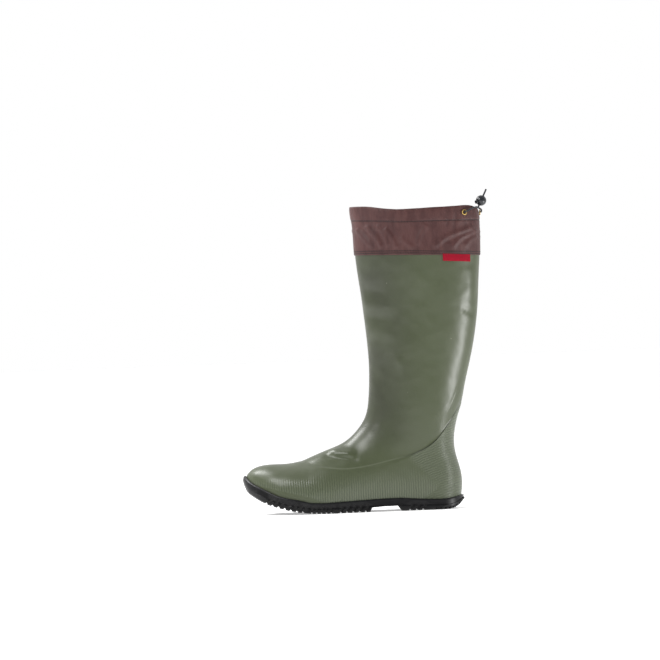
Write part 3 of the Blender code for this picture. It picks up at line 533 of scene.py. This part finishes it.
# Cuff: a brown-purple nylon sleeve, hemmed over the shaft with two rows of stitches and turned
# over at its top into the cord's tunnel. Its cloth is slack, so folds fan out from the hem.
CUFF_HEM = ((-82.0, 311.9), (-7.0, 309.8), (73.0, 306.3))
HEM_SHIFT = (-0.6, 1.8)
HEM_SHIFT_HEIGHT = (335.0, 315.0)
HEM_ROWS = (2.0, 4.6)
TUNNEL_SEAM = ((-84.0, 354.0), (-24.0, 350.0), (72.0, 349.7))
CUFF_FOLDS = (
    # height, width, (x, z) points along it
    (1.9, 2.2, ((-77.6, 345.4), (-69.5, 332.9), (-55.4, 318.0))),
    (-1.2, 1.8, ((-73.0, 347.0), (-64.0, 335.5), (-52.0, 318.5))),
    (2.0, 2.4, ((-67.8, 347.4), (-57.2, 337.3), (-46.9, 318.6))),
    (-1.3, 2.0, ((-61.0, 348.0), (-50.5, 338.0), (-43.0, 320.0))),
    (1.8, 2.6, ((-54.3, 347.4), (-44.9, 338.1), (-39.4, 320.0))),
    (1.5, 2.2, ((-43.5, 344.1), (-34.2, 331.6), (-29.9, 316.8))),
    (-0.7, 1.8, ((-38.5, 343.0), (-31.0, 331.6), (-25.0, 318.0))),
    (1.3, 2.2, ((-25.7, 331.3), (-13.8, 321.1), (-7.9, 316.0))),
    (1.5, 2.6, ((9.0, 345.9), (0.1, 335.2), (-5.3, 320.8))),
    (-0.6, 2.0, ((3.0, 344.0), (-6.0, 334.0), (-10.0, 322.0))),
    (2.0, 2.6, ((67.4, 341.3), (30.4, 329.2), (17.8, 319.9), (15.2, 315.1))),
    (-1.3, 2.0, ((66.0, 337.5), (36.0, 327.0), (24.0, 318.0), (21.0, 314.1))),
    (2.0, 2.4, ((70.9, 337.5), (48.6, 328.5), (39.8, 319.1), (37.1, 314.3))),
    (-0.7, 1.8, ((70.0, 334.0), (53.0, 327.0), (44.0, 318.0))),
    (1.6, 2.2, ((69.5, 331.4), (60.7, 325.7), (53.1, 317.4))),
)
CUFF_SLACK = 0.75
CUFF_SOFTNESS = 1.35
FAR_CUFF_FOLDS = 0.88
# Above the hem and below the seam, from where to where the folds come in
CLEAR_OF_HEM, CLEAR_OF_SEAM = (4.0, 10.0), (0.0, -5.0)
PUCKER, PUCKER_REACH, PUCKER_SPACING, PUCKER_DRIFT = 0.30, 3.5, 2.1, 5.3
TUNNEL_WAVE, TUNNEL_WAVE_SPACING = 0.45, 9.0
TUNNEL_START, TUNNEL_TOP = (0.0, 3.0), (370.0, 362.0)
SEAM_DIP = 0.35
RUBBER_TOP = 323.5
cuff = copy_of("cuff", "nylon_cuff")
finer(cuff, 3)
points, normals = read_mesh(cuff)
# The hem is drawn level: a little lower in front and higher behind
hem_ends = (CUFF_HEM[0][0], CUFF_HEM[-1][0])
points[:, 2] += fade(points[:, 2], *HEM_SHIFT_HEIGHT) * np.interp(points[:, 0], hem_ends, HEM_SHIFT)
side = facing_out(points, normals)
# Folds: on the inner side they are drawn closer together
shifted = points[:, [0, 2]]
shifted[:, 0] *= 1 - (1 - FAR_CUFF_FOLDS) * on_far_side(points)
lift = np.zeros(len(points))
for height, width, line in CUFF_FOLDS:
    lift += CUFF_SLACK * height * nearness(shifted, line, CUFF_SOFTNESS * width, taper=0.1)
hem = points[:, 2] - np.interp(points[:, 0], *np.array(CUFF_HEM).T)
seam = points[:, 2] - np.interp(points[:, 0], *np.array(TUNNEL_SEAM).T)
lift *= fade(hem, *CLEAR_OF_HEM) * fade(seam, *CLEAR_OF_SEAM)
# Puckers along the seam, slow waves of the tunnel above it and the dip of the seam itself
puckers = np.sin(points[:, 0] / PUCKER_SPACING) * np.cos(points[:, 0] / PUCKER_DRIFT + 1)
lift += PUCKER * puckers * np.exp(-(seam / PUCKER_REACH) ** 2)
waves = np.sin(points[:, 0] / TUNNEL_WAVE_SPACING)
lift += TUNNEL_WAVE * waves * fade(seam, *TUNNEL_START) * fade(points[:, 2], *TUNNEL_TOP)
lift -= SEAM_DIP * np.exp(-seam ** 2)
# Over the rubber the cloth can't sink in
lift = np.where(points[:, 2] < RUBBER_TOP, np.maximum(lift, 0.0), lift)
write_mesh(cuff, points + normals * (side * lift)[:, None])
# Nylon taffeta: a fine plain weave with a low sheen, drawn twice as coarse so that it shows
WEAVE_PITCH, CRINKLE_SIZE = 0.5, 7.0
ROW_SHADE, ROW_SHADE_FADE = 0.6, (1.1, 0.3)
nylon_taffeta, shader, place = new_material("nylon_taffeta", {
    "Roughness": 0.52, "Sheen Weight": 0.05, "Sheen Roughness": 0.4, "Specular IOR Level": 0.3})
threads = add_node(nylon_taffeta, "TexVoronoi", {
    "Vector": place, "Scale": 1 / (WEAVE_PITCH * MM)}, distance="CHEBYCHEV")
crinkle = add_node(nylon_taffeta, "Mapping", {
    "Vector": place, "Rotation": (0.0, 0.5, 0.0), "Scale": (1.0, 1.0, 0.35)})
crinkle = add_node(nylon_taffeta, "TexNoise", {
    "Vector": crinkle, "Scale": 1 / (CRINKLE_SIZE * MM), "Detail": 3.0})
crinkle_bump = add_node(nylon_taffeta, "Bump", {
    "Height": crinkle, "Strength": 0.6, "Distance": 1.6 * MM})
weave = add_node(nylon_taffeta, "Bump", {
    "Height": threads, "Strength": 0.35, "Distance": 0.12 * MM, "Normal": crinkle_bump})
feed(shader, "Normal", weave)
shade = add_node(nylon_taffeta, "MapRange", {
    "Value": crinkle, "From Min": 0.3, "From Max": 0.7}, interpolation_type="SMOOTHSTEP")
shade = add_node(nylon_taffeta, "Mix", {
    0: shade, 6: hex_colour("432827"), 7: hex_colour("503331")}, out=2, data_type="RGBA")
# Painted shade: a darker line along each row of stitches, standing for the shade in the cloth's dip
# round it
along, _, up = add_node(nylon_taffeta, "SeparateXYZ", {0: place}).node.outputs


def height_along(line):
    """A line's height on the cuff, from its bends, for the shader."""
    height = line[0][1] * MM
    for (x, z), (next_x, next_z) in zip(line, line[1:]):
        step = add_node(nylon_taffeta, "MapRange", {
            "Value": along, "From Min": x * MM, "From Max": next_x * MM,
            "To Min": 0.0, "To Max": (next_z - z) * MM})
        height = add_node(nylon_taffeta, "Math", {0: height, 1: step}, operation="ADD")
    return height


row_shade = 0.0
# Behind its middle bend the seam is all but level
hem_height, seam_height = height_along(CUFF_HEM), height_along(TUNNEL_SEAM[:2])
for row_height, above in ((hem_height, HEM_ROWS[0]), (hem_height, HEM_ROWS[1]), (seam_height, 0.0)):
    off_row = add_node(nylon_taffeta, "Math", {0: up, 1: above * MM}, operation="SUBTRACT")
    off_row = add_node(nylon_taffeta, "Math", {0: off_row, 1: row_height}, operation="SUBTRACT")
    off_row = add_node(nylon_taffeta, "Math", {0: off_row}, operation="ABSOLUTE")
    on_row = add_node(nylon_taffeta, "MapRange", {
        "Value": off_row, "From Min": ROW_SHADE_FADE[0] * MM, "From Max": ROW_SHADE_FADE[1] * MM},
        interpolation_type="SMOOTHSTEP")
    row_shade = add_node(nylon_taffeta, "Math", {0: row_shade, 1: on_row}, operation="MAXIMUM")
row_shade = add_node(nylon_taffeta, "Math", {0: row_shade, 1: ROW_SHADE}, operation="MULTIPLY")
shade = add_node(nylon_taffeta, "Mix", {
    0: row_shade, 6: shade, 7: hex_colour("1c0f10")}, out=2, data_type="RGBA")
feed(shader, "Base Color", shade)
dress(cuff, nylon_taffeta)
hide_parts("cuff")
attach(cuff, "root")


# Stitches: brown polyester thread in lock stitches, two rows at the hem and one under the
# tunnel, each stitch sunk a little in the cloth
STITCH_PITCH, STITCH_LENGTH, THREAD = 3.2, 2.5, 0.55
STITCH_PROUD, TWIST_PITCH = 0.10, 0.5
# The stitches' places are looked up from outside the cuff, all round its middle
LOOKS_ROUND, LOOKS_FROM = 1400, 200.0
CUFF_MIDDLE, CUFF_REACH = -2.0, 80.0
# Polyester thread: twisted and dull, and darker than the cloth
brown_thread, shader, place = new_material("brown_thread", {
    "Base Color": hex_colour("231516"), "Roughness": 0.7})
twist = add_node(brown_thread, "TexNoise", {"Vector": place, "Scale": 1 / (TWIST_PITCH * MM)})
twist = add_node(brown_thread, "Bump", {"Height": twist, "Strength": 0.6, "Distance": 0.1 * MM})
feed(shader, "Normal", twist)
cloth = BVHTree.FromPolygons([v.co for v in cuff.data.vertices],
                             [tuple(face.vertices) for face in cuff.data.polygons])


def round_the_cuff(line, above, step):
    """Points and normals on the cuff along a line, one for each step round it."""
    line = np.array(line)
    found = []
    for angle in np.linspace(0, 2 * math.pi, LOOKS_ROUND, endpoint=False):
        way = Vector((math.cos(angle), math.sin(angle), 0.0))
        z = float(np.interp(CUFF_REACH * way.x, line[:, 0], line[:, 1])) + above
        outside = Vector((CUFF_MIDDLE, 0.0, z)) * MM + way * LOOKS_FROM * MM
        place, normal, _, _ = cloth.ray_cast(outside, -way)
        if place:
            found.append((place, normal))
    spots = np.array([tuple(place) for place, _ in found])
    run = np.concatenate([[0], np.cumsum(np.linalg.norm(np.diff(spots, axis=0), axis=1))])
    return [found[int(np.searchsorted(run, at))] for at in np.arange(0, run[-1], step * MM)]


bpy.ops.object.select_all(action="DESELECT")
bpy.ops.mesh.primitive_ico_sphere_add(subdivisions=1, radius=1.0, calc_uvs=False)
one_stitch = bpy.context.object
one_stitch.data.shade_smooth()
one_stitch.data.transform(Matrix.Diagonal((
    STITCH_LENGTH / 2 * MM, THREAD / 2 * MM, THREAD / 2 * MM, 1.0)))
stitches = []
for line, above in ((CUFF_HEM, HEM_ROWS[0]), (CUFF_HEM, HEM_ROWS[1]), (TUNNEL_SEAM, 0.0)):
    row = round_the_cuff(line, above, STITCH_PITCH / 2)
    for (start, normal), (end, _) in zip(row[0:len(row) - 2:2], row[1::2]):
        way = (end - start).normalized()
        turn = Matrix((way, normal.cross(way).normalized(), normal)).transposed().to_4x4()
        middle = (start + end) / 2 + normal * STITCH_PROUD * MM
        stitch = bpy.data.objects.new("stitch", one_stitch.data.copy())
        stitch.data.transform(Matrix.Translation(middle) @ turn)
        bpy.context.scene.collection.objects.link(stitch)
        stitches.append(stitch)
bpy.data.objects.remove(one_stitch)
for stitch in stitches:
    stitch.select_set(True)
bpy.context.view_layer.objects.active = stitches[0]
bpy.ops.object.join()
cuff_stitches = bpy.context.object
cuff_stitches.name = cuff_stitches.data.name = "cuff_stitches"
dress(cuff_stitches, brown_thread)
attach(cuff_stitches, "root")


# Eyelets: brass, pressed from sheet with a flange rolled round a dark hole. They are clenched
# through the tunnel's cloth, and the cord leaves by them.
# Brass: polished and then left to tarnish, so it shines softly with duller patches
TARNISH_SIZE = 1.5
pressed_brass, shader, place = new_material("pressed_brass", {
    "Base Color": hex_colour("c2a765"), "Metallic": 1.0, "Roughness": 0.3})
tarnish = add_node(pressed_brass, "TexNoise", {"Vector": place, "Scale": 1 / (TARNISH_SIZE * MM)})
tarnish = add_node(pressed_brass, "MapRange", {
    "Value": tarnish, "From Min": -0.6, "From Max": 1.6}, interpolation_type="SMOOTHSTEP")
feed(shader, "Roughness", tarnish)
for node_name, name in (("eyelet_outer", "brass_eyelet_outer"), ("eyelet_back", "brass_eyelet_back")):
    eyelet = copy_of(node_name, name)
    finer(eyelet, 2)
    dress(eyelet, pressed_brass)
    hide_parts(node_name)
    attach(eyelet, "root")


# Cord lock: a moulded ball of black acetal, bored for both strands of the cord, with a sprung
# button that grips them inside it
# Acetal: moulded in a polished tool, so it is glossy, with the faintest unevenness
HAZE_SIZE = 2.0
black_acetal, shader, place = new_material("black_acetal", {
    "Base Color": hex_colour("232529"), "Roughness": 0.25})
haze = add_node(black_acetal, "TexNoise", {"Vector": place, "Scale": 1 / (HAZE_SIZE * MM)})
haze = add_node(black_acetal, "Bump", {"Height": haze, "Strength": 0.3, "Distance": 0.05 * MM})
feed(shader, "Normal", haze)
for node_name, name in (("cord_lock", "ball_lock"), ("cord_lock_plunger", "lock_button")):
    piece = copy_of(node_name, name)
    bpy.ops.object.shade_smooth_by_angle(angle=math.radians(40))
    dress(piece, black_acetal)
    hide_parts(node_name)
    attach(piece, "root")


# Side tag: a piece of red woven tape, folded double and sewn into the cuff's hem on the outer
# side. It is left bare.
TAG_UP = 4.0
TAG_FOOT_UP = 0.55
TAG_FOLD = 0.25
WEFT_PITCH = 0.6
tag = copy_of("side_tag", "red_tag")
fold = tag.modifiers.new("fold", "BEVEL")
fold.width = TAG_FOLD * MM
fold.segments = 2
fold.limit_method = "ANGLE"
bpy.context.view_layer.objects.active = tag
bpy.ops.object.modifier_apply(modifier=fold.name)
bpy.ops.object.shade_smooth_by_angle(angle=math.radians(50))
# Its upper edge is drawn up into the hem, and its foot rather less
points, normals = read_mesh(tag)
up_the_tag = fade(points[:, 2], points[:, 2].min(), points[:, 2].max())
points[:, 2] += TAG_UP * (TAG_FOOT_UP + (1 - TAG_FOOT_UP) * up_the_tag)
write_mesh(tag, points)
# Woven tape: matt, with its weft as fine ridges across it
red_woven_tape, shader, place = new_material("red_woven_tape", {
    "Base Color": hex_colour("8a0b22"), "Roughness": 0.9, "Specular IOR Level": 0.2})
weft = add_node(red_woven_tape, "TexWave", {
    "Vector": place, "Scale": 1 / (WEFT_PITCH * MM) / WAVE_REPEATS},
    out="Fac", bands_direction="Z")
weft = add_node(red_woven_tape, "Bump", {"Height": weft, "Strength": 0.5, "Distance": 0.1 * MM})
feed(shader, "Normal", weft)
dress(tag, red_woven_tape)
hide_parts("side_tag")
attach(tag, "root")


# Studio: a white paper floor in a white room, with soft lights over the boot and its toe and a
# tall strip by the heel
FLOOR_WIDTH = 60.0
# White paper: matt, and bright enough of its own to stay white under the lights
white_paper, shader, place = new_material("white_paper", {
    "Base Color": hex_colour("f4f4f4"), "Roughness": 0.9,
    "Emission Color": hex_colour("ffffff"), "Emission Strength": 0.4})
bpy.ops.object.select_all(action="DESELECT")
bpy.ops.mesh.primitive_plane_add(size=FLOOR_WIDTH)
floor = bpy.context.object
floor.name = "paper_floor"
dress(floor, white_paper)

# The room is white behind and above the boot and dimmer on the camera's side, where the studio
# is dark, so that the gloss on the boot's near side stays deep
world = bpy.data.worlds.new("white_room")
bpy.context.scene.world = world
world.use_nodes = True
room = add_node(world, "TexCoord", out="Generated")
depth = add_node(world, "SeparateXYZ", {0: room}, out="Y")
dimmer = add_node(world, "MapRange", {
    "Value": depth, "From Min": -0.7, "From Max": 0.5, "To Min": 0.24, "To Max": 1.0})
seen = add_node(world, "LightPath", out="Is Camera Ray")
background = world.node_tree.nodes["Background"]
background.inputs["Color"].default_value = hex_colour("ffffff")
feed(background, "Strength", add_node(world, "Math", {0: dimmer, 1: seen}, operation="MAXIMUM"))


def soft_light(name, place, target, size, power):
    """A rectangular soft light that faces a point."""
    lamp = bpy.data.lights.new(name, "AREA")
    lamp.shape = "RECTANGLE"
    lamp.size, lamp.size_y = size
    lamp.energy = power
    holder = bpy.data.objects.new(name, lamp)
    bpy.context.scene.collection.objects.link(holder)
    holder.location = place
    holder.rotation_euler = (Vector(target) - Vector(place)).to_track_quat("-Z", "Y").to_euler()


soft_light("overhead_softbox", (-1.3, 0.55, 1.55), (-0.08, 0.0, 0.10), (0.8, 0.8), 29.0)
soft_light("toe_softbox", (-1.35, -1.25, 1.6), (-0.14, 0.0, 0.06), (0.75, 0.75), 28.0)
soft_light("heel_strip", (0.62, -0.27, 0.105), (0.03, 0.0, 0.17), (0.07, 0.18), 2.0)
bpy.context.scene.view_settings.view_transform = "Standard"
